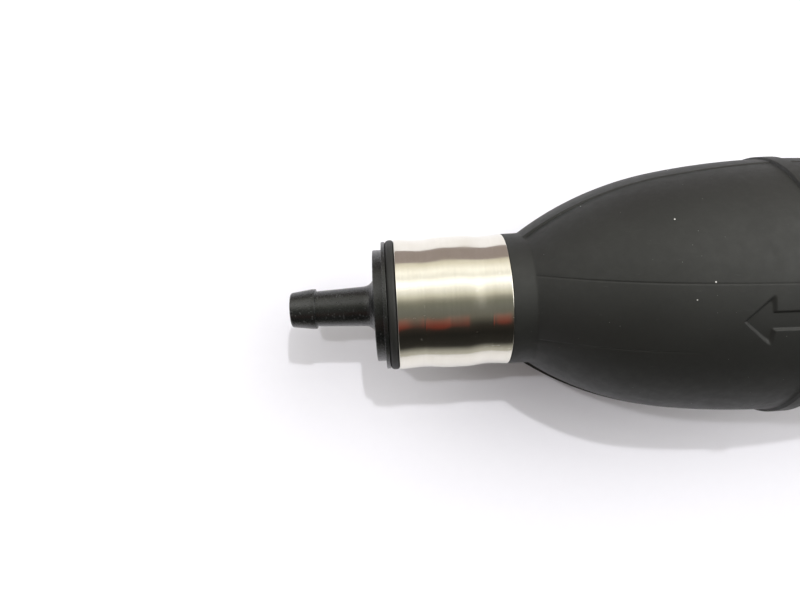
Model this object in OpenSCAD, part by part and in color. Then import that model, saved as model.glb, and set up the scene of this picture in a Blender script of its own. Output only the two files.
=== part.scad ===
// Siphon bulb pump: a squeezable rubber bulb with a barbed hose fitting, a crimped steel
// ferrule and a spring-loaded check valve at each end.
// Units are millimetres. The pump's axis is X, the liquid flows towards -X, and +Z is the side
// that carries the flow arrow. The origin is the middle of the bulb, on the axis.

/* [Bulb] */
// Diameter of the plain bulb wall at its equator
bulb_d = 53.3; // [52:0.1:55]
// Length of the swollen part, from neck to neck
bulb_length = 102.2; // [101:0.1:103]
// Radius of the lengthwise curve over the middle
middle_curve_r = 160; // [140:1:170]
// Half length of that middle curve
middle_half = 23.1; // [18:0.1:24]
// Radius of the lengthwise curve over the shoulders
shoulder_curve_r = 63; // [61:0.1:66]
// Thickness of the rubber wall
bulb_wall = 3; // [2.5:0.1:3.4]
// Height of the band around the equator
equator_h = 0.6; // [0.5:0.1:1]
// Width of that band on its top
equator_w = 2.8; // [1:0.2:4]
// Angle about the axis of the two plain panels, on +Z and -Z, where that band is left out
panel_angle = 28; // [24:1:40]
// Height of the two bands that run along the sides, on +Y and -Y
band_h = 0.2; // [0.1:0.05:0.5]
// Width of those side bands
band_w = 10.8; // [8:0.2:14]
// Radius of the side bands' lengthwise curve over the shoulders
band_shoulder_r = 66.4; // [66:0.1:70]

/* [Flow arrow] */
// Length of the arrow
arrow_length = 32; // [20:0.2:40]
// Length of the arrow's head
arrow_head_l = 5.2; // [4:0.1:9]
// Width of the arrow's head
arrow_head_w = 10; // [6:0.2:12]
// Width of the arrow's shaft
arrow_shaft_w = 3.3; // [1.5:0.1:4]
// Depth of the arrow in the wall
arrow_depth = 0.45; // [0.3:0.05:0.6]
// Angle about the axis that the arrow is turned from +Z towards -Y
arrow_turn = 2; // [0:0.5:4]

/* [Squeeze wall] */
// Length of the part of the wall that is pressed in
squeeze_l = 62; // [50:1:66]
// Width of the part of the wall that is pressed in
squeeze_w = 28; // [20:1:30]
// Corner radius of that part, seen from above
squeeze_corner_r = 9; // [4:0.5:9]
// Gap around it
squeeze_gap = 0.3; // [0.2:0.05:0.5]

/* [Neck and ferrule] */
// Outer diameter of the steel ferrule at its two ends
ferrule_d = 28; // [27.6:0.1:28.4]
// Length of the ferrule
ferrule_length = 23; // [21:0.5:24]
// Thickness of the ferrule's steel
ferrule_t = 0.5; // [0.4:0.05:0.7]
// Depth of the two crimped grooves, below the ferrule's ends
crimp_depth = 0.2; // [0.1:0.05:0.5]
// Height of the swell between the grooves, above the ferrule's ends
swell_h = 0.15; // [0:0.05:0.4]
// Distance from a groove to the place where the swell has its full height
swell_rise = 5; // [2:0.5:6]
// Distance from the ferrule's inner end to the groove nearest to it
inner_crimp_inset = 4.1; // [3:0.1:7]
// Distance from the ferrule's outer end to the groove nearest to it
outer_crimp_inset = 5.5; // [3:0.1:7]
// Length of the rubber collar between the bulb and the ferrule
collar_l = 4.1; // [3:0.1:6]
// Length of the rubber lip outside the ferrule
lip_l = 1.9; // [1.5:0.1:3.5]
// Outer diameter of the rubber lip
lip_d = 27.9; // [27:0.1:28.2]
// Bore of the rubber neck
neck_bore_d = 20.6; // [20.4:0.1:21]

/* [Hose fitting] */
// Diameter of the thin flange that closes the neck
flange_d = 27.4; // [26:0.1:27.6]
// Thickness of that flange
flange_t = 0.8; // [0.4:0.1:1]
// Diameter of the disc at the foot of the barb
disc_d = 24; // [20:0.1:25]
// Thickness of that disc
disc_t = 1.9; // [1:0.1:2.2]
// Length of the hose barb, from the disc to its tip
barb_l = 18.1; // [17:0.1:19]
// Diameter over the barb's crown
crown_d = 8.64; // [8.4:0.02:9]
// Length of the barb's crown
crown_l = 5.4; // [4:0.1:6]
// Length of the cylindrical land on the crown
crown_land = 0.8; // [0.5:0.1:1.2]
// Diameter of the barb's tip
tip_d = 7.4; // [6.8:0.1:8]
// Diameter of the shank just behind the crown
shank_top_d = 7.6; // [7.2:0.1:8.2]
// Diameter of the shank at its foot
shank_foot_d = 8.78; // [8.2:0.02:9]
// Radius of the fillet between shank and disc
shank_fillet_r = 2.4; // [1:0.1:3.2]
// Diameter of the liquid passage through the barb
passage_d = 5; // [4:0.1:5.4]

/* [Check valve] */
// Bore that the valve cartridge sits in
cartridge_bore_d = 16; // [15.8:0.1:16.2]
// Length of the valve seat
seat_l = 6; // [5:0.1:6.5]
// Length of the spring cage
cage_l = 14; // [13.5:0.1:15]
// Diameter of the valve's orifice
orifice_d = 7.2; // [6:0.1:8]
// Section diameter of the seat's O-ring
o_ring_section = 1.5; // [1.4:0.05:1.6]
// Diameter of the poppet's disc
poppet_d = 10.4; // [9.8:0.1:11]
// Diameter of the poppet's stem
stem_d = 3; // [2.6:0.1:3.2]
// Radial clearance between the stem and its guide
stem_clearance = 0.06; // [0.03:0.01:0.1]
// Distance that the poppet opens
valve_lift = 2.2; // [1:0.1:2.4]
// Mean diameter of the valve spring
spring_d = 7; // [6.6:0.1:8]
// Diameter of the spring's wire
spring_wire = 0.5; // [0.3:0.05:0.6]
// Number of turns of the spring
spring_turns = 6; // [4:1:7]

/* [Hidden] */

$fn = 64;
OUTLET = -1;
INLET = 1;
BITE = 0.5;

// Places along the axis, measured outwards from the middle of the bulb
neck_u = bulb_length / 2;
ferrule_in_u = neck_u + collar_l;
ferrule_out_u = ferrule_in_u + ferrule_length;
flange_in_u = ferrule_out_u + lip_l;
flange_out_u = flange_in_u + flange_t;
disc_out_u = flange_out_u + disc_t;
tip_u = disc_out_u + barb_l;

// The lengthwise curve of the bulb: a middle arc, and a shoulder arc that is tangent to it
bulb_r = bulb_d / 2;
curve_lean = asin(middle_half / middle_curve_r);
middle_centre_r = bulb_r - middle_curve_r;
ARC_STEPS = 6;
SHOULDER_STEPS = 14;

collar_r = ferrule_d / 2;
neck_bore_r = neck_bore_d / 2;
ferrule_bore_r = ferrule_d / 2 - ferrule_t;
lip_round = 0.8;

// The fitting's inside end, which reaches at least "ring_land" past the retaining ring
cartridge_out_u = disc_out_u - 4.9;
cartridge_l = seat_l + cage_l;
ring_t = 1.1;
ring_land = 1.5;
ring_u = cartridge_out_u - cartridge_l - ring_t;
spigot_in_u = min(neck_u + 2.8, ring_u - ring_land);
RIBS = 3;
rib_h = 0.5;
rib_l = 2.4;
rib_pitch = 6.5;
edge_round = 0.3;

// The valve cartridge, measured along the flow from the seat's upstream face
cartridge_r = cartridge_bore_d / 2 - 0.1;
seat_lip_h = 0.4;
seat_lip_w = 0.8;
seal_gap = 0.05;
seal_t = 1;
seal_r = poppet_d / 2 - 0.3;
seal_v = seat_l + seat_lip_h + seal_gap;
disc_v = seal_v + seal_t;
poppet_disc_t = 1.5;
stem_v = disc_v + poppet_disc_t;
nub_r = 1.2;
nub_head_r = 1.9;
nub_head_t = 0.8;
hub_v = stem_v + valve_lift + 0.15;
web_t = 2;
web_v = seat_l + cage_l - 4.5;
hub_wall = 1.05;
guide_r = stem_d / 2 + stem_clearance;
hub_r = guide_r + hub_wall;
cage_bore_r = cartridge_r - 1.3;
ARMS = 3;
arm_w = 1.8;
stem_end_v = web_v + web_t - 0.5;
groove_w = o_ring_section + 0.5;
groove_r = cartridge_bore_d / 2 + 0.1 - o_ring_section;
WIRE_SIDES = 6;
TURN_STEPS = 18;

// A point [radius, u] on the middle arc at an angle "a", raised by "off"
function middle_point(a, off) = [
    middle_centre_r + (middle_curve_r + off) * cos(a), (middle_curve_r + off) * sin(a)
];
// Centre [radius, u] of a shoulder arc of radius "q", and a point on that arc
function shoulder_centre(q) = [
    middle_centre_r + (middle_curve_r - q) * cos(curve_lean), (middle_curve_r - q) * sin(curve_lean)
];
function shoulder_point(a, off, q) = shoulder_centre(q) + (q + off) * [cos(a), sin(a)];
// The shoulder arc's angle where its radius from the pump's axis has come down to "r"
function shoulder_end(r, off, q) = acos((r - shoulder_centre(q)[0]) / (q + off));
// Points [radius, u] of the curve from the equator to the place where its radius is "r"
function curve(off, r, q = shoulder_curve_r) = let (last = shoulder_end(r, off, q)) concat(
    [for (i = [0:ARC_STEPS - 1]) middle_point(curve_lean * i / ARC_STEPS, off)],
    [for (i = [0:SHOULDER_STEPS])
        shoulder_point(curve_lean + (last - curve_lean) * i / SHOULDER_STEPS, off, q)]
);
// The same points on the other side of the equator, in the opposite order
function far_side(points) = [for (i = [len(points) - 1:-1:1]) [points[i][0], -points[i][1]]];
function reversed(points) = [for (i = [len(points) - 1:-1:0]) points[i]];
// A quarter round of radius "q" about [r, u], from angle "a0" to "a1"
function round_points(r, u, q, a0, a1, steps) = [
    for (i = [0:steps]) let (a = a0 + (a1 - a0) * i / steps) [r + q * cos(a), u + q * sin(a)]
];

// Turns a profile's u axis outwards along the pump, at the outlet (-1) or the inlet (+1)
module at_end(side) {
    rotate([0, 90 * side, 0]) children();
}

// Places a valve piece at one end, with its v axis along the flow
module in_cartridge(side) {
    upstream_x = side == OUTLET ? cartridge_l - cartridge_out_u : cartridge_out_u;
    translate([upstream_x, 0, 0]) rotate([0, -90, 0]) children();
}

// A thin solid over the bulb's outside, from "bottom" to "top" off the wall, where "q" is the radius
// of its outer curve over the shoulders
module skin(bottom, top, q) {
    outside = curve(top, collar_r, q);
    inside = curve(bottom, collar_r - 1);
    rotate_extrude()
        polygon(concat(far_side(outside), outside, reversed(inside), reversed(far_side(inside))));
}

// How far the ferrule stands out at a distance "s" from its inner end: it falls to each groove,
// and swells between them
groove_s = [inner_crimp_inset, ferrule_length - outer_crimp_inset];
swell_middle = (groove_s[0] + groove_s[1]) / 2;
swell_half = (groove_s[1] - groove_s[0]) / 2;
function ease(t) = let (c = min(t, 1)) c * c * (3 - 2 * c);
function stand_out(s) =
    s < groove_s[0] ? -crimp_depth * ease(s / inner_crimp_inset) :
    s > groove_s[1] ? -crimp_depth * ease((ferrule_length - s) / outer_crimp_inset) :
    (swell_h + crimp_depth) * ease((swell_half - abs(s - swell_middle)) / swell_rise) - crimp_depth;
END_STEPS = 4;
SWELL_STEPS = 14;
ferrule_places = concat(
    [for (i = [0:END_STEPS - 1]) inner_crimp_inset * i / END_STEPS],
    [for (i = [0:SWELL_STEPS]) groove_s[0] + 2 * swell_half * i / SWELL_STEPS],
    [for (i = [1:END_STEPS]) groove_s[1] + outer_crimp_inset * i / END_STEPS]
);
// Points [radius, u] along the ferrule, where its radius at the ends is "r"
function ferrule_line(r) = [
    for (s = ferrule_places) [r + stand_out(s), ferrule_in_u + s]
];

// The neck's outside and bore, from the bulb to the lip
neck_outside = concat(
    [[collar_r, ferrule_in_u]],
    ferrule_line(ferrule_bore_r),
    [[lip_d / 2, ferrule_out_u]],
    round_points(lip_d / 2 - lip_round, flange_in_u - lip_round, lip_round, 0, 90, 5),
    [[neck_bore_r, flange_in_u]]
);

module bulb_wall_solid() {
    outside = concat(curve(0, collar_r), neck_outside);
    inside = curve(-bulb_wall, neck_bore_r);
    rotate_extrude($fn = 96)
        polygon(concat(far_side(outside), outside, reversed(inside), reversed(far_side(inside))));
}

// The band around the equator, from panel to panel on both sides
module equator_band() {
    foot = equator_w / 2 + equator_h;
    for (middle = [90, 270])
        rotate([0, 0, middle - 90 + panel_angle / 2])
            rotate_extrude(angle = 180 - panel_angle)
                polygon([
                    [bulb_r - BITE, -foot], [bulb_r, -foot], [bulb_r + equator_h, -equator_w / 2],
                    [bulb_r + equator_h, equator_w / 2], [bulb_r, foot], [bulb_r - BITE, foot]
                ]);
}

// The two side bands, centred on -Y and +Y
module side_bands() {
    intersection() {
        skin(-BITE, band_h, band_shoulder_r);
        cube([band_w, 2 * bulb_d, bulb_length + 2 * collar_l], center = true);
    }
}

// The whole rubber moulding, before it is divided for the squeeze
module moulding() {
    rotate([0, 90, 0]) {
        bulb_wall_solid();
        equator_band();
        side_bands();
    }
}

// The outline of the squeezed part of the wall, grown by "grow"
module squeeze_outline(grow) {
    l = squeeze_l + 2 * grow;
    w = squeeze_w + 2 * grow;
    r = squeeze_corner_r + grow;
    square([l - 2 * r, w], center = true);
    square([l, w - 2 * r], center = true);
    for (x = [-1, 1], y = [-1, 1]) translate([x * (l / 2 - r), y * (w / 2 - r)]) circle(r);
}

module squeeze_prism(grow) {
    linear_extrude(bulb_d) squeeze_outline(grow);
}

// The sunk arrow on the +Z side, pointing towards the outlet, as the space it takes out
module flow_arrow() {
    tip_x = -arrow_length / 2;
    neck_x = tip_x + arrow_head_l;
    rotate([arrow_turn, 0, 0])
        intersection() {
            rotate([0, 90, 0]) skin(-arrow_depth, 1, shoulder_curve_r);
            linear_extrude(bulb_d)
                polygon([
                    [tip_x, 0], [neck_x, arrow_head_w / 2], [neck_x, arrow_shaft_w / 2],
                    [-tip_x, arrow_shaft_w / 2], [-tip_x, -arrow_shaft_w / 2],
                    [neck_x, -arrow_shaft_w / 2], [neck_x, -arrow_head_w / 2]
                ]);
        }
}

module bulb() {
    color([0.13, 0.13, 0.125])
        difference() {
            moulding();
            squeeze_prism(squeeze_gap);
        }
}

module bulb_squeeze_wall() {
    color([0.17, 0.17, 0.165])
        difference() {
            intersection() {
                moulding();
                squeeze_prism(0);
            }
            flow_arrow();
        }
}

// One saw-tooth rib on the spigot, sharp towards the bulb's lip, with its foot at "u"
function rib(u) = [
    [neck_bore_r, u], [neck_bore_r + rib_h, u - 0.3], [neck_bore_r + rib_h, u - 0.6],
    [neck_bore_r, u - rib_l]
];

// Hose barb, disc, flange and the ribbed spigot that holds the valve
module fitting(side) {
    crown_u = tip_u - crown_l;
    first_rib_u = flange_in_u - 6;
    bore_r = cartridge_bore_d / 2;
    profile = concat(
        [[passage_d / 2 + 0.4, tip_u]],
        round_points(tip_d / 2 - edge_round, tip_u - edge_round, edge_round, 90, 0, 4),
        [[crown_d / 2, crown_u + crown_land], [crown_d / 2, crown_u], [shank_top_d / 2, crown_u]],
        round_points(shank_foot_d / 2 + shank_fillet_r, disc_out_u + shank_fillet_r,
            shank_fillet_r, 180, 270, 6),
        round_points(disc_d / 2 - edge_round, disc_out_u - edge_round, edge_round, 90, 0, 4),
        [[disc_d / 2, flange_out_u], [flange_d / 2, flange_out_u], [flange_d / 2, flange_in_u]],
        [[neck_bore_r, flange_in_u]],
        [for (i = [0:RIBS - 1]) each rib(first_rib_u - i * rib_pitch)],
        [[neck_bore_r, spigot_in_u + 0.5], [neck_bore_r - 0.5, spigot_in_u], [bore_r, spigot_in_u]],
        [[bore_r, ring_u - 0.1], [bore_r + 0.6, ring_u - 0.1], [bore_r + 0.6, ring_u + ring_t]],
        [[bore_r, ring_u + ring_t], [bore_r, cartridge_out_u], [passage_d / 2, cartridge_out_u]],
        [[passage_d / 2, tip_u - 0.4]]
    );
    color([0.11, 0.115, 0.115]) at_end(side) rotate_extrude() polygon(profile);
}

module ferrule(side) {
    color([0.83, 0.82, 0.79]) at_end(side)
        rotate_extrude() polygon(concat(ferrule_line(collar_r), reversed(ferrule_line(ferrule_bore_r))));
}

// Seat with its raised sealing lip and its O-ring groove
module valve_seat(side) {
    groove_v = seat_l / 2 - groove_w / 2;
    orifice_r = orifice_d / 2;
    color([0.82, 0.80, 0.72]) in_cartridge(side) rotate_extrude()
        polygon([
            [orifice_r, 0], [cartridge_r, 0], [cartridge_r, groove_v], [groove_r, groove_v],
            [groove_r, groove_v + groove_w], [cartridge_r, groove_v + groove_w],
            [cartridge_r, seat_l], [orifice_r + seat_lip_w, seat_l],
            [orifice_r + seat_lip_w, seat_l + seat_lip_h], [orifice_r, seat_l + seat_lip_h]
        ]);
}

module seat_o_ring(side) {
    color([0.08, 0.08, 0.08]) in_cartridge(side)
        translate([0, 0, seat_l / 2])
            rotate_extrude()
                translate([groove_r + o_ring_section / 2, 0]) circle(d = o_ring_section, $fn = 24);
}

// Disc with its guide stem downstream and the headed nub that holds the seal upstream
module poppet(side) {
    color([0.86, 0.84, 0.76]) in_cartridge(side) rotate_extrude()
        polygon([
            [0, seal_v - nub_head_t], [nub_head_r, seal_v - nub_head_t], [nub_head_r, seal_v],
            [nub_r, seal_v], [nub_r, disc_v], [poppet_d / 2, disc_v], [poppet_d / 2, stem_v],
            [stem_d / 2, stem_v], [stem_d / 2, stem_end_v], [0, stem_end_v]
        ]);
}

module poppet_seal(side) {
    color([0.09, 0.09, 0.09]) in_cartridge(side)
        translate([0, 0, seal_v])
            difference() {
                cylinder(r = seal_r, h = seal_t);
                translate([0, 0, -BITE]) cylinder(r = nub_r, h = seal_t + 2 * BITE);
            }
}

// Skirt that stands on the seat, with a guide hub carried on arms
module spring_cage(side) {
    color([0.80, 0.78, 0.70]) in_cartridge(side) {
        difference() {
            translate([0, 0, seat_l]) cylinder(r = cartridge_r, h = cage_l);
            translate([0, 0, seat_l - BITE]) cylinder(r = cage_bore_r, h = cage_l + 2 * BITE);
        }
        difference() {
            union() {
                translate([0, 0, hub_v]) cylinder(r = hub_r, h = web_v + web_t - hub_v);
                for (i = [0:ARMS - 1])
                    rotate([0, 0, 90 + i * 360 / ARMS])
                        translate([0, -arm_w / 2, web_v]) cube([cage_bore_r + BITE, arm_w, web_t]);
            }
            translate([0, 0, hub_v - BITE]) cylinder(r = guide_r, h = cage_l);
        }
    }
}

// A ring of "WIRE_SIDES" points across the spring's wire, at step "i" of its helix
function wire_ring(i, steps, low, high) = let (
    turn = 360 * i / TURN_STEPS,
    v = low + (high - low) * i / steps
) [
    for (k = [0:WIRE_SIDES - 1])
        let (a = 360 * k / WIRE_SIDES, r = spring_d / 2 + spring_wire / 2 * cos(a))
        [r * cos(turn), r * sin(turn), v + spring_wire / 2 * sin(a)]
];

// Helical spring between the poppet's disc and the cage's web
module valve_spring(side) {
    steps = spring_turns * TURN_STEPS;
    low = stem_v + spring_wire / 2;
    high = web_v - spring_wire / 2;
    points = [for (i = [0:steps]) each wire_ring(i, steps, low, high)];
    sides = [
        for (i = [0:steps - 1], k = [0:WIRE_SIDES - 1])
            let (a = i * WIRE_SIDES + k, b = i * WIRE_SIDES + (k + 1) % WIRE_SIDES)
            [a, a + WIRE_SIDES, b + WIRE_SIDES, b]
    ];
    start_cap = [for (k = [0:WIRE_SIDES - 1]) k];
    end_cap = [for (k = [WIRE_SIDES - 1:-1:0]) steps * WIRE_SIDES + k];
    color([0.75, 0.75, 0.76]) in_cartridge(side)
        polyhedron(points = points, faces = concat(sides, [start_cap], [end_cap]));
}

// Open snap ring in the groove at the mouth of the cartridge bore
module retaining_ring(side) {
    ring_gap_angle = 36;
    color([0.66, 0.67, 0.69]) at_end(side)
        rotate([0, 0, ring_gap_angle / 2]) rotate_extrude(angle = 360 - ring_gap_angle)
            translate([cartridge_bore_d / 2 - 0.9, ring_u]) square([1.4, ring_t]);
}

bulb();
bulb_squeeze_wall();
fitting(OUTLET);  // outlet_fitting
ferrule(OUTLET);  // outlet_ferrule
valve_seat(OUTLET);  // outlet_valve_seat
seat_o_ring(OUTLET);  // outlet_seat_o_ring
poppet(OUTLET);  // outlet_poppet
poppet_seal(OUTLET);  // outlet_poppet_seal
valve_spring(OUTLET);  // outlet_valve_spring
spring_cage(OUTLET);  // outlet_spring_cage
retaining_ring(OUTLET);  // outlet_retaining_ring
fitting(INLET);  // inlet_fitting
ferrule(INLET);  // inlet_ferrule
valve_seat(INLET);  // inlet_valve_seat
seat_o_ring(INLET);  // inlet_seat_o_ring
poppet(INLET);  // inlet_poppet
poppet_seal(INLET);  // inlet_poppet_seal
valve_spring(INLET);  // inlet_valve_spring
spring_cage(INLET);  // inlet_spring_cage
retaining_ring(INLET);  // inlet_retaining_ring
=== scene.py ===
"""Siphon bulb pump: the looks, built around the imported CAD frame.

Metres, in the frame of the CAD model: the pump's axis is X, the outlet is at -X, and +Z carries the
flow arrow. Outlines are given as (u, r): u along the axis outwards from the middle of the bulb, and
r the distance from the axis.
"""

import math

import bpy
import numpy as np
from mathutils import Matrix, Vector


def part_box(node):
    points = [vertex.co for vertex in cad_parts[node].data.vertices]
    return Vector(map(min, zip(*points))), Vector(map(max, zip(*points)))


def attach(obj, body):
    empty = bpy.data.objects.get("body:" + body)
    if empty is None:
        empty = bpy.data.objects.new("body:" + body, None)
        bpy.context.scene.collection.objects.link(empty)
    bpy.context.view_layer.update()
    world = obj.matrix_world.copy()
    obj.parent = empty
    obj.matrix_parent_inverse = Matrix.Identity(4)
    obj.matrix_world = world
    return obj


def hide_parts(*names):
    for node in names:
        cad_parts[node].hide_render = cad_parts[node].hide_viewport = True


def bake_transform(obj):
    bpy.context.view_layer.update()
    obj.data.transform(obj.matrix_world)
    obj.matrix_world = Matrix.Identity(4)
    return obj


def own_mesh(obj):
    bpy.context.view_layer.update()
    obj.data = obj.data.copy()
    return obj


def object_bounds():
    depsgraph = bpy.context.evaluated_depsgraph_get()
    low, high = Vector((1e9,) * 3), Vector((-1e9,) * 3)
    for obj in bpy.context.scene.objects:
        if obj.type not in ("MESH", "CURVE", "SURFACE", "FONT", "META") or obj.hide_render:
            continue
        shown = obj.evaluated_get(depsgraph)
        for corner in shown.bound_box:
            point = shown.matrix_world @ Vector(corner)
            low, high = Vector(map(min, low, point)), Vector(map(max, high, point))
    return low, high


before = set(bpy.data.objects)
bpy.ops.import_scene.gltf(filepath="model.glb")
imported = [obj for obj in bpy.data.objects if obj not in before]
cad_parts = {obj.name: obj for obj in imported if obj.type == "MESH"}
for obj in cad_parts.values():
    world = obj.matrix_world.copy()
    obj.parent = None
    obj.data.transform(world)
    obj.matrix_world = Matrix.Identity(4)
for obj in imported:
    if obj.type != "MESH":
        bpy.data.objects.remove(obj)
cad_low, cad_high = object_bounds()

MM = 0.001
OUTLET, INLET = -1, 1
END_NAMES = {OUTLET: "outlet", INLET: "inlet"}
FRAME_BODY = "pump_body"

# ---------------------------------------------------------------------------------------------
# Sizes, read from the frame where it holds them
# ---------------------------------------------------------------------------------------------


def axial(node):
    """Inner and outer end of an inlet node along the axis, and its largest radius."""
    low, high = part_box(node)
    return low.x, high.x, high.z


ferrule_in_u, ferrule_out_u, _ = axial("inlet_ferrule")
fitting_in_u, tip_u, flange_r = axial("inlet_fitting")
neck_end_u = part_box("bulb")[1].x
ring_in_u, ring_out_u, _ = axial("inlet_retaining_ring")
cartridge_out_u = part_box("inlet_valve_seat")[1].x
floor_z = cad_low.z

# Rubber bulb
BULB_R = 26.65 * MM
MIDDLE_CURVE_R = 160 * MM
MIDDLE_HALF = 23.1 * MM
SHOULDER_CURVE_R = 63 * MM
WALL = 3 * MM
COLLAR_R = 14 * MM
EQUATOR_H = 0.6 * MM
EQUATOR_TOP_HALF = 1.4 * MM
EQUATOR_RISER = 0.4 * MM
PANEL_HALF = 6.47 * MM
PANEL_AT_EQUATOR = -1.0 * MM
PANEL_WANDER = 0.03  # towards +Y, for each unit of length away from the equator
BAND_H = 0.2 * MM
BAND_SHOULDER_R = 66.4 * MM
BAND_HALF = 5.4 * MM
BAND_TAPER = 0.07  # taken off BAND_HALF for each unit of length past BAND_TAPER_FROM
BAND_TAPER_FROM = 20 * MM
BAND_RISER = 0.3 * MM
CREASE_DEPTH = 0.08 * MM
CREASE_HALF = 0.3 * MM
UPPER_FADE_U = 15 * MM
UPPER_FADE_L = 15 * MM
LOWER_FADE_U = 18 * MM
LOWER_FADE_L = 20 * MM
CORNER_BLEND = 0.12 * MM
COLLAR_STEP_LEAD = 0.15 * MM
COLLAR_STEP_L = 0.3 * MM

# Flow arrow, sunk in the +Z side
ARROW_TIP_X = -16 * MM
ARROW_END_X = 16 * MM
ARROW_NECK_X = -10.8 * MM
ARROW_HEAD_HALF = 5 * MM
ARROW_SHAFT_HALF = 1.65 * MM
ARROW_DEPTH = 0.45 * MM
ARROW_RISER = 0.35 * MM
ARROW_CORNER = 0.8 * MM
ARROW_TURN = math.radians(-2)

# Neck, lip and ferrule
NECK_BORE_R = 10.3 * MM
FERRULE_T = 0.5 * MM
FERRULE_R = 14 * MM
CRIMP_DEPTH = 0.2 * MM
SWELL_H = 0.15 * MM
SWELL_RISE = 5 * MM
INNER_GROOVE_U = ferrule_in_u + 4.1 * MM
OUTER_GROOVE_U = ferrule_out_u - 5.5 * MM
GROOVE_LINE_DEPTH = 0.02 * MM
GROOVE_LINE_HALF = 0.15 * MM
GROOVE_SUPPORT = 0.3 * MM
FERRULE_EDGE_R = 0.12 * MM
FERRULE_RIM_R = 0.2 * MM
LIP_R = 13.95 * MM
LIP_INNER_EDGE_R = 0.6 * MM
LIP_OUTER_EDGE_R = 0.9 * MM
LIP_BORE_EDGE_R = 0.2 * MM
FERRULE_GAP = 0.03 * MM
SPIGOT_GAP = 0.05 * MM
RUBBER_BORE_R = NECK_BORE_R + SPIGOT_GAP
HIDDEN_U = 57 * MM  # where the skin of the bulb ends, out of sight under the ferrule
HIDDEN_GAP = 0.2 * MM

# Hose fitting
FLANGE_T = 0.8 * MM
DISC_R = 12 * MM
DISC_T = 1.9 * MM
CROWN_L = 5.4 * MM
CROWN_LAND = 0.8 * MM
CROWN_R = 4.32 * MM
BARB_TIP_R = 3.7 * MM
SHANK_TOP_R = 3.8 * MM
SHANK_FOOT_R = 4.39 * MM
SHANK_FILLET_R = 2.4 * MM
PASSAGE_R = 2.5 * MM
CARTRIDGE_BORE_R = 8 * MM
RING_GROOVE_DEPTH = 0.6 * MM
RIBS = 3
RIB_H = 0.5 * MM
RIB_FACE_L = 0.3 * MM
RIB_CREST_L = 0.3 * MM
RIB_L = 2.4 * MM
RIB_PITCH = 6.5 * MM
FIRST_RIB_INSET = 6 * MM

# Valve spring
SPRING_R = 3.5 * MM
WIRE_R = 0.25 * MM
SPRING_TURNS = 6
SPRING_CLOSED_PART = 1 / 9  # of its turns, at each end
SPRING_OPEN_PART = 7 / 9
SPRING_OPENED = 0.55  # of its length, which the open turns alone take up
SPRING_EVEN = 0.45  # of its length, which all turns share evenly

# Slow unevenness as waves: height in mm, radians a metre along the axis, waves round it, and shift
BULB_WAVES = [(0.03, 130, 2, 0), (0.03, 70, -3, 1)]
FERRULE_WAVES = [(0.02, 420, 2, 0), (0.012, 900, -5, 2)]

# The mesh columns of the bulb's skin that follow a crease or a side band's edge, in degrees
CREASE_MARK = 16.5
BAND_MARK = 75

# ---------------------------------------------------------------------------------------------
# Mesh helpers
# ---------------------------------------------------------------------------------------------


def smooth_step(t):
    t = np.clip(t, 0.0, 1.0)
    return t * t * (3 - 2 * t)


def smooth_max(a, b, k):
    """The larger of a and b, with the corner between them rounded over about k."""
    return 0.5 * (a + b + np.sqrt((a - b) ** 2 + k * k))


def smooth_min(a, b, k):
    return -smooth_max(-a, -b, k)


def unevenness(x, angle, waves):
    """How far faint waves along and round the axis move a surface out."""
    return MM * sum(height * np.sin(x * along + angle * around + shift)
                    for height, along, around, shift in waves)


def runs(*spans):
    """Places from the first span's start to the last one's, where each (start, step) sets the spacing
    up to the next start."""
    places = []
    for (start, step), (stop, _) in zip(spans, spans[1:]):
        count = max(1, round((stop - start) / step))
        places += [start + (stop - start) * i / count for i in range(count)]
    return np.array(places + [spans[-1][0]])


def new_piece(name, points, faces, material, body=None, nodes=()):
    """A smooth-shaded mesh object from points and quads, riding on a body and standing for CAD nodes."""
    mesh = bpy.data.meshes.new(name)
    mesh.from_pydata([tuple(p) for p in points], [], [tuple(int(i) for i in f) for f in faces])
    mesh.validate()
    mesh.shade_smooth()
    mesh.materials.append(material)
    piece = bpy.data.objects.new(name, mesh)
    bpy.context.scene.collection.objects.link(piece)
    if body:
        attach(piece, body)
    if nodes:
        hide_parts(*nodes)
    return piece


def grid_faces(rows, columns, start=0, close_rows=False):
    """Quads over a grid of points whose columns close on themselves."""
    last = rows if close_rows else rows - 1
    i = np.arange(last)[:, None]
    j = np.arange(columns)[None, :]
    a = i * columns + j
    b = i * columns + (j + 1) % columns
    c = ((i + 1) % rows) * columns + (j + 1) % columns
    d = ((i + 1) % rows) * columns + j
    return np.stack([a, b, c, d], axis=-1).reshape(-1, 4) + start


def rounded(corners, steps=6):
    """The closed outline through corners (u, r, fillet radius), with its corners rounded and its long
    sides divided."""
    outline = []
    count = len(corners)
    for i, (u, r, fillet) in enumerate(corners):
        here = Vector((u, r))
        if fillet <= 0:
            outline.append(here)
            continue
        before = (Vector(corners[i - 1][:2]) - here).normalized()
        after = (Vector(corners[(i + 1) % count][:2]) - here).normalized()
        half = before.angle(after) / 2
        reach = fillet / math.tan(half)
        centre = here + (before + after).normalized() * (fillet / math.sin(half))
        first = here + before * reach - centre
        last = here + after * reach - centre
        turn = first.angle_signed(last)
        for k in range(steps + 1):
            angle = -turn * k / steps
            c, s = math.cos(angle), math.sin(angle)
            outline.append(centre + Vector((first.x * c - first.y * s, first.x * s + first.y * c)))
    return divided(outline)


def divided(outline, support=0.05 * MM, longest=1.2 * MM):
    """The outline with a support point near both ends of each long side, and even steps between."""
    points = []
    for i, here in enumerate(outline):
        there = outline[(i + 1) % len(outline)]
        points.append(here)
        length = (there - here).length
        if length > 4 * support:
            steps = max(1, math.ceil((length - 2 * support) / longest))
            inner = [support + (length - 2 * support) * k / steps for k in range(steps + 1)]
            points += [here.lerp(there, d / length) for d in inner]
    return points


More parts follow.
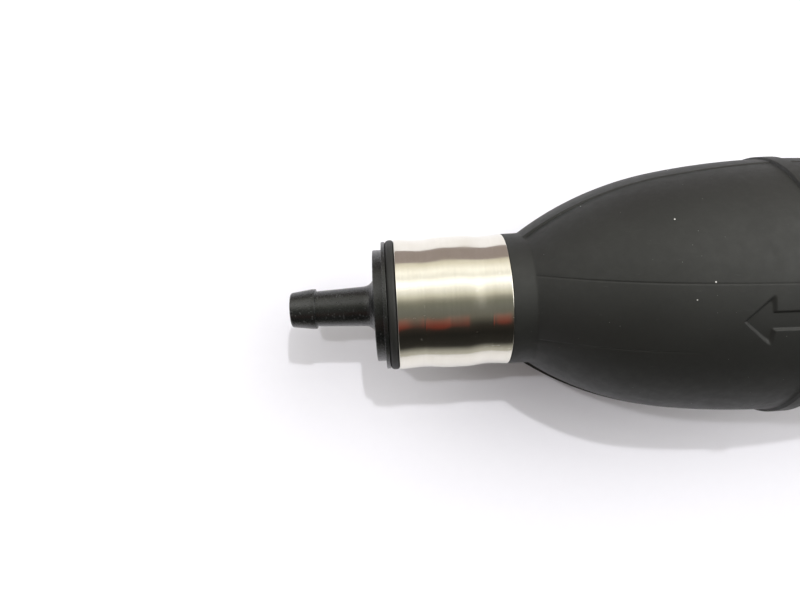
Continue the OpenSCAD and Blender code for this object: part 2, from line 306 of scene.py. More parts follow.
def turned(side, outline, columns=128, ripple=None):
    """Points and quads of a closed outline turned about the pump's axis at one end. ripple(u, angle)
    moves a point away from the axis."""
    u = np.array([p[0] for p in outline])[:, None]
    r = np.array([p[1] for p in outline])[:, None]
    angle = np.linspace(0, 2 * math.pi, columns, endpoint=False)[None, :]
    if ripple is not None:
        r = r + ripple(u, angle)
    r = r + 0 * angle
    x = side * (u + 0 * angle)
    points = np.stack([x, r * np.sin(angle), r * np.cos(angle)], axis=-1).reshape(-1, 3)
    faces = grid_faces(len(outline), columns, close_rows=True)
    return points, facing_out(points, faces)


def facing_out(points, faces):
    """The faces of a closed mesh, turned so that its volume counts as positive."""
    a, b, c, d = (points[faces[:, k]] for k in range(4))
    volume = np.einsum("ij,ij->", a, np.cross(b, c)) + np.einsum("ij,ij->", a, np.cross(c, d))
    return faces if volume > 0 else faces[:, ::-1]


# ---------------------------------------------------------------------------------------------
# Materials
# ---------------------------------------------------------------------------------------------


def add(tree, kind, inputs=None, **settings):
    """A new shader node. An input given as a socket is linked, and any other is set."""
    node = tree.nodes.new("ShaderNode" + kind)
    for name, value in settings.items():
        setattr(node, name, value)
    for name, value in (inputs or {}).items():
        if isinstance(value, bpy.types.NodeSocket):
            tree.links.new(value, node.inputs[name])
        else:
            node.inputs[name].default_value = value
    return node


def blank(name, **shader_inputs):
    """A new material, its tree, its shader and the object's own coordinates."""
    material = bpy.data.materials.new(name)
    material.use_nodes = True
    tree = material.node_tree
    shader = tree.nodes["Principled BSDF"]
    for key, value in shader_inputs.items():
        shader.inputs[key.replace("_", " ")].default_value = value
    place = add(tree, "TexCoord").outputs["Object"]
    return material, tree, shader, place


def noise(tree, place, size, detail=3, roughness=0.6):
    """Noise from 0 to 1 whose blotches are about that size in metres."""
    made = add(tree, "TexNoise", {
        "Vector": place, "Scale": 1 / size, "Detail": detail, "Roughness": roughness,
    })
    return made.outputs["Fac"]


def remap(tree, value, low, high, to_low, to_high, smooth=False):
    made = add(tree, "MapRange", {
        "Value": value, "From Min": low, "From Max": high, "To Min": to_low, "To Max": to_high,
    }, interpolation_type="SMOOTHSTEP" if smooth else "LINEAR")
    return made.outputs["Result"]


def combine(tree, operation, a, b):
    return add(tree, "Math", {0: a, 1: b}, operation=operation).outputs["Value"]


def blended(tree, factor, a, b):
    """A colour that goes from a to b as the factor goes from 0 to 1."""
    made = add(tree, "Mix", data_type="RGBA")
    for key, value in (("Factor_Float", factor), ("A_Color", a), ("B_Color", b)):
        socket = next(s for s in made.inputs if s.identifier == key)
        if isinstance(value, bpy.types.NodeSocket):
            tree.links.new(value, socket)
        else:
            socket.default_value = value
    return next(s for s in made.outputs if s.identifier == "Result_Color")


def specks(tree, place, spacing, radius, share):
    """1 on scattered dots and 0 between them. share is how many of the cells hold one."""
    cells = add(tree, "TexVoronoi", {"Vector": place, "Scale": 1 / spacing, "Randomness": 1.0})
    dot = remap(tree, cells.outputs["Distance"], radius / spacing * 0.6, radius / spacing, 1, 0)
    chosen = add(tree, "SeparateColor", {"Color": cells.outputs["Color"]}).outputs["Red"]
    kept = remap(tree, chosen, 1 - share, 1 - share + 0.02, 0, 1)
    return combine(tree, "MULTIPLY", dot, kept)


def stretched(tree, place, scale, rotation=(0, 0, 0)):
    return add(tree, "Mapping", {
        "Vector": place, "Scale": scale, "Rotation": rotation,
    }).outputs["Vector"]


def scaled(tree, colour, factor):
    return add(tree, "VectorMath", {0: colour, "Scale": factor}, operation="SCALE").outputs["Vector"]


def added(tree, a, b):
    return add(tree, "VectorMath", {0: a, 1: b}, operation="ADD").outputs["Vector"]


def coat(tree, shader, tone, roughness, layers):
    """Gives a shader its colour, its roughness and its bump layers of (height, strength, depth in
    metres), one on the other."""
    tree.links.new(tone, shader.inputs["Base Color"])
    tree.links.new(roughness, shader.inputs["Roughness"])
    normal = None
    for height, strength, depth in layers:
        inputs = {"Height": height, "Strength": strength, "Distance": depth}
        if normal is not None:
            inputs["Normal"] = normal
        normal = add(tree, "Bump", inputs).outputs["Normal"]
    tree.links.new(normal, shader.inputs["Normal"])


def bulb_rubber():
    """Matt moulded rubber: faint cloudy bloom, fine grain, scratches and a little dust."""
    material, tree, shader, place = blank("bulb_rubber", Specular_IOR_Level=0.48)
    cloud = noise(tree, place, 14 * MM, 4)
    patch = noise(tree, place, 2.2 * MM, 5, 0.7)
    grain = noise(tree, place, 0.22 * MM, 3, 0.7)
    lines = noise(tree, stretched(tree, place, (120, 1400, 900), (0.3, 0.1, 0.5)), 1.0, 3, 0.7)
    scratch = remap(tree, lines, 0.66, 0.72, 0, 1, True)
    tone = blended(tree, remap(tree, cloud, 0.35, 0.65, 0, 1),
                   (0.0072, 0.0078, 0.0070, 1), (0.0094, 0.0101, 0.0091, 1))
    tone = blended(tree, remap(tree, patch, 0.55, 0.75, 0, 0.25), tone, (0.014, 0.015, 0.0135, 1))
    tone = blended(tree, combine(tree, "MULTIPLY", scratch, 0.3), tone, (0.03, 0.031, 0.029, 1))
    dust = combine(tree, "MAXIMUM", specks(tree, place, 4.8 * MM, 0.18 * MM, 0.55),
                   combine(tree, "MULTIPLY", specks(tree, place, 1.6 * MM, 0.08 * MM, 0.4), 0.25))
    tone = blended(tree, dust, tone, (0.5, 0.5, 0.48, 1))
    coat(tree, shader, tone, remap(tree, patch, 0.3, 0.7, 0.56, 0.68), [
        (patch, 0.25, 0.03 * MM), (grain, 0.35, 0.012 * MM), (scratch, 0.2, 0.01 * MM),
    ])
    return material


def fitting_plastic():
    """Black moulded plastic: a fine texture, tiny raised specks coloured lighter as a painted glint, and
    pale specks that are partly dust and partly a painted sparkle.
    """
    material, tree, shader, place = blank("fitting_plastic", Specular_IOR_Level=0.5)
    grain = noise(tree, place, 0.5 * MM, 4, 0.8)
    patch = noise(tree, place, 1.6 * MM, 4)
    dust = specks(tree, place, 1.8 * MM, 0.07 * MM, 0.35)
    tone = blended(tree, patch, (0.0058, 0.0064, 0.0062, 1), (0.0105, 0.0115, 0.011, 1))
    # Pale specks, partly dust and partly a painted sparkle.
    tone = blended(tree, combine(tree, "MULTIPLY", dust, 0.8), tone, (0.25, 0.25, 0.24, 1))
    speck_and_painted_glint = specks(tree, place, 0.6 * MM, 0.16 * MM, 0.5)
    # Painted glint: the raised specks are coloured lighter, so that they sparkle wherever light falls on
    # them.
    tone = blended(tree, combine(tree, "MULTIPLY", speck_and_painted_glint, 0.5), tone, (0.06, 0.066, 0.062, 1))
    roughness = combine(tree, "SUBTRACT", remap(tree, grain, 0.3, 0.7, 0.18, 0.38),
                        combine(tree, "MULTIPLY", speck_and_painted_glint, 0.1))
    coat(tree, shader, tone, roughness, [
        (patch, 0.2, 0.02 * MM), (grain, 0.6, 0.05 * MM), (speck_and_painted_glint, 1.0, 0.08 * MM),
    ])
    return material


def ferrule_steel():
    """Bright tinned steel: fine rolling lines round it, scratches, faint stains, pits, and pale specks
    that are partly dust and partly a painted sparkle.
    """
    material, tree, shader, place = blank("ferrule_steel", Metallic=1.0)
    cloud = noise(tree, place, 5 * MM, 4)
    rolled = noise(tree, stretched(tree, place, (2600, 90, 90)), 1.0, 3, 0.6)
    lines = noise(tree, stretched(tree, place, (160, 1700, 900), (0.2, 0.5, 0.3)), 1.0, 3, 0.7)
    scratch = remap(tree, lines, 0.68, 0.73, 0, 1, True)
    pits = specks(tree, place, 1.6 * MM, 0.07 * MM, 0.3)
    tone = blended(tree, remap(tree, cloud, 0.35, 0.7, 0, 1),
                   (0.76, 0.735, 0.66, 1), (0.70, 0.67, 0.585, 1))
    tone = blended(tree, remap(tree, rolled, 0.35, 0.65, 0, 0.2), tone, (0.60, 0.58, 0.52, 1))
    tone = blended(tree, combine(tree, "MULTIPLY", pits, 0.6), tone, (0.35, 0.33, 0.30, 1))
    # Pale specks, partly dust and partly a painted sparkle.
    dust = specks(tree, place, 2.2 * MM, 0.1 * MM, 0.5)
    tone = blended(tree, dust, tone, (0.95, 0.95, 0.93, 1))
    marks = combine(tree, "MAXIMUM", scratch, dust)
    roughness = combine(tree, "ADD", remap(tree, cloud, 0.3, 0.7, 0.09, 0.16),
                        combine(tree, "MULTIPLY", marks, 0.2))
    coat(tree, shader, tone, roughness, [
        (rolled, 0.07, 0.004 * MM), (scratch, 0.25, 0.004 * MM), (dust, 0.6, 0.03 * MM),
    ])
    return material


def valve_plastic():
    """Natural acetal: milky, slightly waxy."""
    material, tree, shader, place = blank("valve_plastic", Subsurface_Weight=0.2,
                                          Subsurface_Scale=0.8 * MM)
    patch = noise(tree, place, 1.5 * MM, 4)
    grain = noise(tree, place, 0.2 * MM, 3)
    tone = blended(tree, patch, (0.70, 0.68, 0.60, 1), (0.77, 0.75, 0.68, 1))
    coat(tree, shader, tone, remap(tree, grain, 0.3, 0.7, 0.3, 0.42), [(grain, 0.2, 0.008 * MM)])
    return material


def seal_rubber():
    """Smooth black nitrile."""
    material, tree, shader, place = blank("seal_rubber")
    patch = noise(tree, place, 1.0 * MM, 4)
    tone = blended(tree, patch, (0.018, 0.018, 0.018, 1), (0.032, 0.032, 0.031, 1))
    coat(tree, shader, tone, remap(tree, patch, 0.3, 0.7, 0.3, 0.45), [(patch, 0.2, 0.01 * MM)])
    return material


def spring_steel():
    """Bright drawn wire and strip."""
    material, tree, shader, place = blank("spring_steel", Metallic=1.0)
    drawn = noise(tree, stretched(tree, place, (3000, 700, 700)), 1.0, 3)
    tone = blended(tree, drawn, (0.52, 0.52, 0.53, 1), (0.68, 0.68, 0.69, 1))
    coat(tree, shader, tone, remap(tree, drawn, 0.3, 0.7, 0.18, 0.32), [(drawn, 0.2, 0.004 * MM)])
    return material


SKINS = {make.__name__: make() for make in (
    bulb_rubber, fitting_plastic, ferrule_steel, valve_plastic, seal_rubber, spring_steel,
)}

# ---------------------------------------------------------------------------------------------
# Rubber bulb
# ---------------------------------------------------------------------------------------------

curve_lean = math.asin(MIDDLE_HALF / MIDDLE_CURVE_R)
middle_centre_r = BULB_R - MIDDLE_CURVE_R


def plain_radius(u, off=0.0, shoulder_r=SHOULDER_CURVE_R):
    """Radius of the swollen part at a distance u from the equator, moved out by off."""
    shoulder_centre_u = (MIDDLE_CURVE_R - shoulder_r) * math.sin(curve_lean)
    shoulder_centre_r = middle_centre_r + (MIDDLE_CURVE_R - shoulder_r) * math.cos(curve_lean)
    middle = middle_centre_r + np.sqrt((MIDDLE_CURVE_R + off) ** 2 - u * u)
    along = np.clip(u - shoulder_centre_u, 0, shoulder_r + off)
    shoulder = shoulder_centre_r + np.sqrt((shoulder_r + off) ** 2 - along ** 2)
    return np.where(u < MIDDLE_HALF, middle, shoulder)


def panel_middle(x):
    """Y of the middle of the plain panels, which wander a little along the bulb."""
    return PANEL_AT_EQUATOR + PANEL_WANDER * np.abs(x)


def band_half(x):
    """Half the width of the side bands, which grow narrower towards the necks."""
    return BAND_HALF - BAND_TAPER * np.maximum(np.abs(x) - BAND_TAPER_FROM, 0)


def arrow_inset(x, v):
    """How far a point is inside the arrow's outline, negative outside it."""
    v = np.abs(v)
    flank = math.atan2(ARROW_HEAD_HALF, ARROW_NECK_X - ARROW_TIP_X)
    to_flank = (x - ARROW_TIP_X) * math.sin(flank) - v * math.cos(flank)
    head = smooth_min(to_flank, ARROW_NECK_X - x, ARROW_CORNER)
    past_neck = smooth_min(ARROW_SHAFT_HALF - v, ARROW_END_X - x, ARROW_CORNER)
    shaft = np.minimum(past_neck, x - (ARROW_NECK_X - ARROW_SHAFT_HALF))
    return np.maximum(head, shaft)


def bulb_radius(x, angle):
    """Radius of the moulding's outside. The angle runs from +Z towards +Y."""
    u = np.abs(x)
    r = plain_radius(u) + 0 * angle
    turn = angle - ARROW_TURN
    across = r * np.sin(turn)
    riser = ARROW_RISER * (1 + np.abs(across) / ARROW_HEAD_HALF)
    sunk = smooth_step(arrow_inset(x, across) / riser + 0.5)
    dent = ARROW_DEPTH * np.where(np.cos(turn) > 0, sunk, 0)
    band = plain_radius(u, BAND_H, BAND_SHOULDER_R) - r
    band = band * smooth_step((band_half(x) - np.abs(r * np.cos(angle))) / BAND_RISER + 0.5)
    beside = r * np.sin(angle) - panel_middle(x)
    past_crease = np.abs(beside) - PANEL_HALF
    ring = EQUATOR_H * smooth_step((EQUATOR_TOP_HALF + EQUATOR_RISER - u) / EQUATOR_RISER)
    ring = ring * smooth_step(past_crease / EQUATOR_H)
    crease = CREASE_DEPTH * smooth_step(1 - np.abs(past_crease) / CREASE_HALF)
    # Towards the equator the upper crease (+Y) fades to half its depth, and the lower one to none
    upper_fade = 0.5 + 0.5 * smooth_step((u - UPPER_FADE_U) / UPPER_FADE_L)
    lower_fade = smooth_step((u - LOWER_FADE_U) / LOWER_FADE_L)
    crease = crease * np.where(beside > 0, upper_fade, lower_fade)
    swollen = r + np.maximum(band, ring) - crease - dent + unevenness(x, angle, BULB_WAVES)
    outside = smooth_max(swollen, COLLAR_R, CORNER_BLEND)
    under_r = COLLAR_R - FERRULE_T
    step = smooth_step((ferrule_in_u - COLLAR_STEP_LEAD - u) / COLLAR_STEP_L + 1)
    return np.where(u < ferrule_in_u - COLLAR_STEP_L, outside, under_r + (COLLAR_R - under_r) * step)


def column_angles(place, x):
    """Angles of the mesh's columns at x. The columns at CREASE_MARK and BAND_MARK from +Z and -Z, and
    the ones beside them, follow a crease or the edge of a side band."""
    r = max(float(plain_radius(abs(x))), COLLAR_R)
    low, high = (math.degrees(math.asin((panel_middle(x) + side * PANEL_HALF) / r))
                 for side in (-1, 1))
    edge = math.degrees(math.acos(band_half(x) / r))
    lines = [-180, -180 - low, -180 + edge, -edge, low, high, edge, 180 - edge, 180 - high, 180]
    marks = [-180, -180 + CREASE_MARK, -180 + BAND_MARK, -BAND_MARK, -CREASE_MARK,
             CREASE_MARK, BAND_MARK, 180 - BAND_MARK, 180 - CREASE_MARK, 180]
    return np.radians(np.interp(place, marks, lines))


def bulb_skin():
    """The moulding's outside from ferrule to ferrule, and its inside, as one closed wall."""
    # Rings in mm, close together at the equator band, the arrow's head and tail end, and the collars
    x = runs(
        (-57, 0.5), (-55.4, 0.06), (-54.8, 0.7), (-51.7, 0.15), (-49.7, 0.6), (-44, 1.4),
        (-16.3, 0.15), (-8.5, 1.0), (-2.1, 0.07), (-1.2, 0.8), (1.2, 0.07), (2.1, 1.4),
        (14.6, 0.14), (16.2, 1.4), (44, 0.6), (49.7, 0.15), (51.7, 0.7), (54.8, 0.06),
        (55.4, 0.5), (57, 1),
    ) * MM
    # Columns in degrees, close together at the creases, the edges of the side bands and the arrow
    place = runs(
        (-180, 2.8), (-164.6, 0.16), (-162.4, 2.8), (-106.8, 0.2), (-103.2, 2.8),
        (-76.8, 0.2), (-73.2, 2.8), (-17.6, 0.16), (-15.4, 0.6), (-13.6, 0.3), (12, 0.8),
        (15.4, 0.16), (17.6, 2.8), (73.2, 0.2), (76.8, 2.8), (103.2, 0.2), (106.8, 2.8),
        (162.4, 0.16), (164.6, 2.8), (180, 1),
    )[:-1]
    inner_x = runs((-57, 1.5), (-44, 2.2), (44, 1.5), (57, 1))[::-1] * MM
    inner_r = smooth_max(plain_radius(np.abs(inner_x), -WALL), RUBBER_BORE_R, CORNER_BLEND)
    all_x = np.concatenate([x, inner_x])
    angle = np.array([column_angles(place, at) for at in all_x])
    outer_r = bulb_radius(x[:, None], angle[:len(x)])
    r = np.concatenate([outer_r, inner_r[:, None] + 0 * angle[len(x):]])
    all_x = all_x[:, None] + 0 * angle
    points = np.stack([all_x, r * np.sin(angle), r * np.cos(angle)], axis=-1).reshape(-1, 3)
    faces = facing_out(points, grid_faces(*angle.shape, close_rows=True))
    skin = new_piece("bulb_skin", points, faces, SKINS["bulb_rubber"],
                     nodes=["bulb", "bulb_squeeze_wall"])
    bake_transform(skin)


def stand_out(u):
    """How far the ferrule stands out: it falls to each of its two grooves and swells between them."""
    inner = -CRIMP_DEPTH * smooth_step((u - ferrule_in_u) / (INNER_GROOVE_U - ferrule_in_u))
    outer = -CRIMP_DEPTH * smooth_step((ferrule_out_u - u) / (ferrule_out_u - OUTER_GROOVE_U))
    from_groove = np.minimum(u - INNER_GROOVE_U, OUTER_GROOVE_U - u)
    swell = (SWELL_H + CRIMP_DEPTH) * smooth_step(from_groove / SWELL_RISE) - CRIMP_DEPTH
    return np.where(u < INNER_GROOVE_U, inner, np.where(u > OUTER_GROOVE_U, outer, swell))


def neck_lip(side):
    """The neck under the ferrule and the rounded lip outside it."""
    lip_in_u = ferrule_out_u + FERRULE_GAP
    under_r = FERRULE_R - FERRULE_T - FERRULE_GAP
    under = [Vector((u, under_r + float(stand_out(u))))
             for u in runs((HIDDEN_U + HIDDEN_GAP, 0.4 * MM), (lip_in_u, 1))]
    lip = rounded([
        (lip_in_u, RUBBER_BORE_R, 0), (lip_in_u, LIP_R, LIP_INNER_EDGE_R),
        (neck_end_u, LIP_R, LIP_OUTER_EDGE_R), (neck_end_u, RUBBER_BORE_R, LIP_BORE_EDGE_R),
    ])
    points, faces = turned(side, under + lip[1:] + [Vector((under[0].x, RUBBER_BORE_R))])
    new_piece(f"{END_NAMES[side]}_neck_lip", points, faces, SKINS["bulb_rubber"],
              FRAME_BODY, ["bulb"])


# ---------------------------------------------------------------------------------------------
# Ferrules and fittings
# ---------------------------------------------------------------------------------------------


def ferrule_ripple(u, angle):
    """The ferrule's shape, the line at the bottom of each groove, and the faint unevenness that
    rolling and crimping leave in thin steel."""
    line = 0 * u
    for groove in (INNER_GROOVE_U, OUTER_GROOVE_U):
        line = line + GROOVE_LINE_DEPTH * smooth_step(1 - np.abs(u - groove) / GROOVE_LINE_HALF)
    return stand_out(u) - line + unevenness(u - ferrule_in_u, angle, FERRULE_WAVES)


def ferrule(side):
    """The rolled steel ring that clamps the neck on the fitting."""
    bore_r = FERRULE_R - FERRULE_T
    grooves = [(groove + off, FERRULE_R, 0) for groove in (INNER_GROOVE_U, OUTER_GROOVE_U)
               for off in (-GROOVE_SUPPORT, 0, GROOVE_SUPPORT)]
    shell = rounded([
        (ferrule_in_u, bore_r, FERRULE_EDGE_R), (ferrule_in_u, FERRULE_R, FERRULE_EDGE_R), *grooves,
        (ferrule_out_u, FERRULE_R, FERRULE_RIM_R), (ferrule_out_u, bore_r, FERRULE_EDGE_R),
    ])
    shell = divided(shell, longest=0.25 * MM)
    points, faces = turned(side, shell, 192, ferrule_ripple)
    name = END_NAMES[side]
    new_piece(f"{name}_ferrule_shell", points, faces, SKINS["ferrule_steel"],
              FRAME_BODY, [f"{name}_ferrule"])


def hose_fitting(side):
    """Barb, disc, flange and the ribbed spigot, as one turned moulding."""
    flange_out_u = neck_end_u + FLANGE_T
    disc_out_u = flange_out_u + DISC_T
    crown_u = tip_u - CROWN_L
    fine = 0.06 * MM
    soft = 0.25 * MM
    rib_r = NECK_BORE_R + RIB_H
    groove_r = CARTRIDGE_BORE_R + RING_GROOVE_DEPTH
    ribs = []
    for i in range(RIBS):
        foot = neck_end_u - FIRST_RIB_INSET - i * RIB_PITCH
        crest = foot - RIB_FACE_L
        ribs += [(foot, NECK_BORE_R, 0), (crest, rib_r, fine), (crest - RIB_CREST_L, rib_r, fine),
                 (foot - RIB_L, NECK_BORE_R, 0)]
    outline = rounded([
        (tip_u, PASSAGE_R, 0.35 * MM), (tip_u, BARB_TIP_R, 0.45 * MM),
        (crown_u + CROWN_LAND, CROWN_R, 0.5 * MM), (crown_u, CROWN_R, 0.12 * MM),
        (crown_u, SHANK_TOP_R, 0.1 * MM), (disc_out_u, SHANK_FOOT_R, SHANK_FILLET_R),
        (disc_out_u, DISC_R, soft), (flange_out_u, DISC_R, fine),
        (flange_out_u, flange_r, 0.15 * MM), (neck_end_u, flange_r, 0.1 * MM),
        (neck_end_u, NECK_BORE_R, fine), *ribs, (fitting_in_u, NECK_BORE_R, soft),
        (fitting_in_u, CARTRIDGE_BORE_R, fine), (ring_in_u, CARTRIDGE_BORE_R, 0),
        (ring_in_u, groove_r, 0), (ring_out_u, groove_r, 0),
        (ring_out_u, CARTRIDGE_BORE_R, 0), (cartridge_out_u, CARTRIDGE_BORE_R, 0),
        (cartridge_out_u, PASSAGE_R, 0),
    ])
    points, faces = turned(side, outline, 144)
    name = END_NAMES[side]
    new_piece(f"{name}_hose_fitting", points, faces, SKINS["fitting_plastic"],
              FRAME_BODY, [f"{name}_fitting"])


# ---------------------------------------------------------------------------------------------
# Valves
# ---------------------------------------------------------------------------------------------


def valve_spring(side):
    """A compression spring with closed end turns."""
    name = END_NAMES[side]
    node = f"{name}_valve_spring"
    low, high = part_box(node)
    length = high.x - low.x
    steps_a_turn = 40
    sides = 10
    count = SPRING_TURNS * steps_a_turn
    t = np.linspace(0, 1, count + 1)
    turn = 2 * math.pi * SPRING_TURNS * t
    opened = smooth_step((t - SPRING_CLOSED_PART) / SPRING_OPEN_PART)
    spread = opened * SPRING_OPENED + t * SPRING_EVEN
    x = low.x + WIRE_R + (length - 2 * WIRE_R) * spread
    across = np.linspace(0, 2 * math.pi, sides, endpoint=False)
    radius = SPRING_R + WIRE_R * np.cos(across)[None, :]
    points = np.stack([
        x[:, None] + WIRE_R * np.sin(across)[None, :],
        radius * np.sin(turn)[:, None], radius * np.cos(turn)[:, None],
    ], axis=-1).reshape(-1, 3)
    body_faces = [tuple(f) for f in grid_faces(count + 1, sides)]
    caps = [tuple(range(sides))[::-1], tuple(count * sides + k for k in range(sides))]
    spring = new_piece(f"{name}_spring_wire", points, body_faces + caps, SKINS["spring_steel"],
                       FRAME_BODY, [node])
    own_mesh(spring)


def dress(node, skin):
    """Gives a CAD node a skin in place of its plain colour."""
    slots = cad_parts[node].data.materials
    slots.clear()
    slots.append(SKINS[skin])


bulb_skin()
for side in (OUTLET, INLET):
    end = END_NAMES[side]
    neck_lip(side)
    ferrule(side)
    hose_fitting(side)
    valve_spring(side)
    for part in ("valve_seat", "poppet", "spring_cage"):
        dress(f"{end}_{part}", "valve_plastic")
    for part in ("seat_o_ring", "poppet_seal"):
        dress(f"{end}_{part}", "seal_rubber")
    dress(f"{end}_retaining_ring", "spring_steel")

# ---------------------------------------------------------------------------------------------
# Floor, light and camera
# ---------------------------------------------------------------------------------------------


FLOOR_REACH = 3.0
CARD_REACH = 0.5
CARD_Y = 71 * MM
CARD_TOP_Z = 11.3 * MM
CARD_TONE = (0.40, 0.34, 0.325, 1)
BACKDROP_TONE = (0.93, 0.93, 0.94, 1)

# The room's colour by direction round the pump's axis, in degrees from +Z towards +Y
ROOM_TONES = [
    (-180, (0.5, 0.5, 0.5)), (-98, (0.68, 0.66, 0.60)), (-82, (0.46, 0.45, 0.40)),
    (-70, (0.03, 0.028, 0.025)), (-45, (0.018, 0.017, 0.015)), (-34, (0.03, 0.026, 0.022)),
    (-28, (0.045, 0.042, 0.036)), (-22, (0.09, 0.085, 0.07)), (-14, (0.16, 0.155, 0.13)),
    (0, (0.19, 0.19, 0.165)), (10, (0.22, 0.22, 0.18)), (17, (0.36, 0.35, 0.29)),
    (24, (0.76, 0.74, 0.62)), (35, (1.22, 1.2, 1.12)), (46, (1.9, 1.88, 1.8)),
    (57, (1.15, 1.13, 1.04)), (68, (1.4, 1.37, 1.27)), (81, (1.0, 0.95, 0.8)),
    (96, (0.62, 0.57, 0.52)), (180, (0.5, 0.5, 0.5)),
]
END_TONE = (0.3, 0.295, 0.32, 1)
SIDEWAYS_GAIN = 1.5
RED_TONE = (0.15, 0.008, 0.0)
RED_SLANT = 0.4
WINDOW_TONE = (1.0, 0.99, 0.97)
WINDOWS = [((0.52, 0.45, 0.72), 5.0), ((-0.5, 0.6, 0.62), 0.8)]  # direction, and strength
WINDOW_HALF = math.radians(12)
WINDOW_FADE_HALF = math.radians(36)


def pale_floor():
    """Plain pale paper under the pump, reaching past the view."""
    material, tree, shader, place = blank("floor_paper", Roughness=0.9, Specular_IOR_Level=0.1)
    tone = blended(tree, noise(tree, place, 3 * MM, 4),
                   (0.82, 0.825, 0.885, 1), (0.84, 0.845, 0.905, 1))
    tree.links.new(tone, shader.inputs["Base Color"])
    corners = [(-FLOOR_REACH, -FLOOR_REACH, floor_z), (FLOOR_REACH, -FLOOR_REACH, floor_z),
               (FLOOR_REACH, FLOOR_REACH, floor_z), (-FLOOR_REACH, FLOOR_REACH, floor_z)]
    floor = new_piece("floor", corners, [(0, 1, 2, 3)], material)


def studio_world():
    """A soft room with a broad bright side towards +Y, a dark side towards -Y, dim ends, two soft
    windows and a faint red glow. The camera sees a plain pale backdrop in its place."""
    world = bpy.data.worlds.new("studio")
    bpy.context.scene.world = world
    world.use_nodes = True
    tree = world.node_tree
    tree.nodes.clear()
    way = add(tree, "TexCoord").outputs["Generated"]
    parts = add(tree, "SeparateXYZ", {"Vector": way})
    along = parts.outputs["X"]
    lean = combine(tree, "ARCTAN2", parts.outputs["Y"], parts.outputs["Z"])
    ramp = add(tree, "ValToRGB", {"Fac": remap(tree, lean, -math.pi, math.pi, 0, 1)})
    elements = ramp.color_ramp.elements
    while len(elements) < len(ROOM_TONES):
        elements.new(0.5)
    for element, (degrees, tone) in zip(elements, ROOM_TONES):
        element.position = (degrees + 180) / 360
        element.color = (*tone, 1)
    # The bright side grows brighter away from the middle, and the ends are dim
    endwise = combine(tree, "ABSOLUTE", along, 0)
    towards_end = remap(tree, endwise, 0.6, 0.9, 0, 1, True)
    bright_side = remap(tree, lean, math.radians(15), math.radians(40), 0, 1, True)
    sideways = remap(tree, endwise, 0.28, 0.5, 1, SIDEWAYS_GAIN, True)
    gain = add(tree, "Mix", {"Factor": bright_side, "A": 1.0, "B": sideways}).outputs["Result"]
    side = scaled(tree, ramp.outputs["Color"], gain)
    room = blended(tree, towards_end, side, END_TONE)
    # A faint red glow on the dark side, which only the outer half of the ferrule mirrors
    slanted = combine(tree, "SUBTRACT", lean, combine(tree, "MULTIPLY", along, RED_SLANT))
    red_from = combine(tree, "MULTIPLY",
                       remap(tree, slanted, math.radians(-36), math.radians(-28), 0, 1, True),
                       remap(tree, slanted, math.radians(-20), math.radians(-10), 1, 0, True))
    red_part = combine(tree, "MULTIPLY", red_from, remap(tree, along, 0.05, 0.17, 1, 0, True))
    room = added(tree, room, scaled(tree, RED_TONE, red_part))
    # The windows stand high on the bright side, one towards each end
    off_middle = remap(tree, endwise, 0.38, 0.5, 0, 1, True)
    for window_way, strength in WINDOWS:
        towards = add(tree, "VectorMath", {0: way, 1: Vector(window_way).normalized()},
                      operation="DOT_PRODUCT").outputs["Value"]
        glow = remap(tree, towards, math.cos(WINDOW_FADE_HALF), math.cos(WINDOW_HALF),
                     0, strength, True)
        glow = combine(tree, "MULTIPLY", glow, off_middle)
        room = added(tree, room, scaled(tree, WINDOW_TONE, glow))
    seen = add(tree, "LightPath").outputs["Is Camera Ray"]
    light = add(tree, "Background", {"Color": room})
    backdrop = add(tree, "Background", {"Color": BACKDROP_TONE})
    mixed = add(tree, "MixShader", {0: seen, 1: light.outputs[0], 2: backdrop.outputs[0]})
    add(tree, "OutputWorld", {"Surface": mixed.outputs[0]})


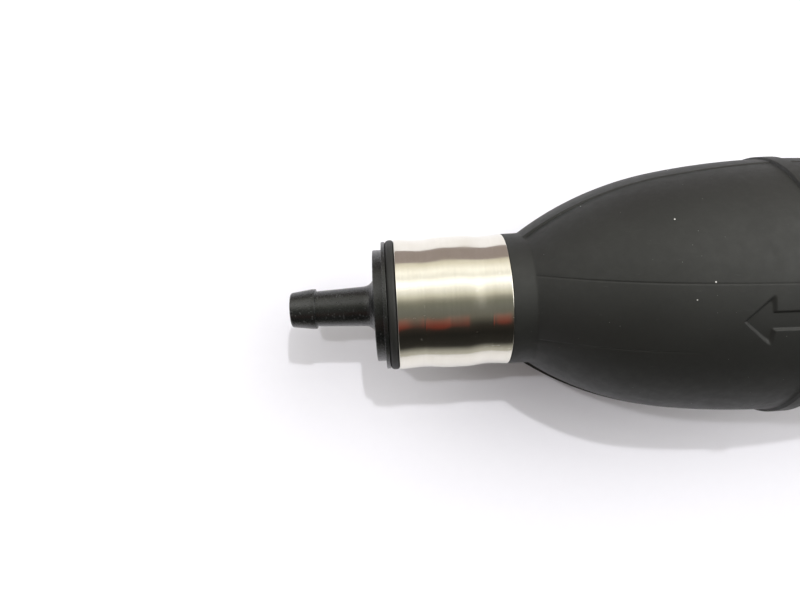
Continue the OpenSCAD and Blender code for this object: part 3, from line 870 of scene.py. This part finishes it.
def dark_card():
    """A low mauve card beyond the +Y side, which shows only in the steel, plastic and rubber."""
    material, tree, _, _ = blank("card_paper")
    glow = add(tree, "Emission", {"Color": CARD_TONE, "Strength": 1.0})
    output = next(n for n in tree.nodes if n.type == "OUTPUT_MATERIAL")
    tree.links.new(glow.outputs[0], output.inputs["Surface"])
    corners = [(-CARD_REACH, CARD_Y, floor_z), (CARD_REACH, CARD_Y, floor_z),
               (CARD_REACH, CARD_Y, CARD_TOP_Z), (-CARD_REACH, CARD_Y, CARD_TOP_Z)]
    card = new_piece("card", corners, [(0, 1, 2, 3)], material)
    card.visible_camera = False
    card.visible_diffuse = False
    card.visible_transmission = False
    card.visible_shadow = False


def lamp(name, place, strength, size, tint):
    """A small lamp whose light doesn't weaken with distance."""
    data = bpy.data.lights.new(name, "POINT")
    data.energy = 1.0
    data.shadow_soft_size = size
    data.color = tint
    data.use_nodes = True
    tree = data.node_tree
    falloff = add(tree, "LightFalloff", {"Strength": strength})
    emission = next(n for n in tree.nodes if n.type == "EMISSION")
    tree.links.new(falloff.outputs["Constant"], emission.inputs["Strength"])
    stand = bpy.data.objects.new(name, data)
    stand.location = place
    stand.visible_glossy = False
    bpy.context.scene.collection.objects.link(stand)


def camera():
    """Looks down on the outlet's half from above its neck, at the angle of the photograph."""
    lean = math.radians(-12.81)
    turn = math.radians(-0.44)
    pitch = math.radians(0.378)
    roll = math.radians(-3.161)
    distance = 140.96 * MM
    along = -78.47 * MM
    data = bpy.data.cameras.new("camera")
    data.sensor_width = 36
    data.lens = 29.25
    data.clip_start = 0.01
    data.clip_end = 20
    eye = bpy.data.objects.new("camera", data)
    bpy.context.scene.collection.objects.link(eye)
    stand = Matrix.Rotation(lean, 4, "X") @ Matrix.Translation((along, 0, distance))
    aim = Matrix.Rotation(turn, 4, "Y") @ Matrix.Rotation(pitch, 4, "X")
    aim = aim @ Matrix.Rotation(roll, 4, "Z")
    eye.matrix_world = stand @ aim
    bpy.context.scene.camera = eye


pale_floor()
studio_world()
dark_card()
lamp("key", (-46.8 * MM, 152.6 * MM, 260 * MM), strength=12.5, size=4 * MM, tint=(1.0, 0.985, 0.985))
lamp("second", (-120 * MM, 68 * MM, 180 * MM), strength=7, size=3 * MM, tint=(1.0, 0.985, 1.0))
camera()
bpy.context.scene.view_settings.view_transform = "Standard"
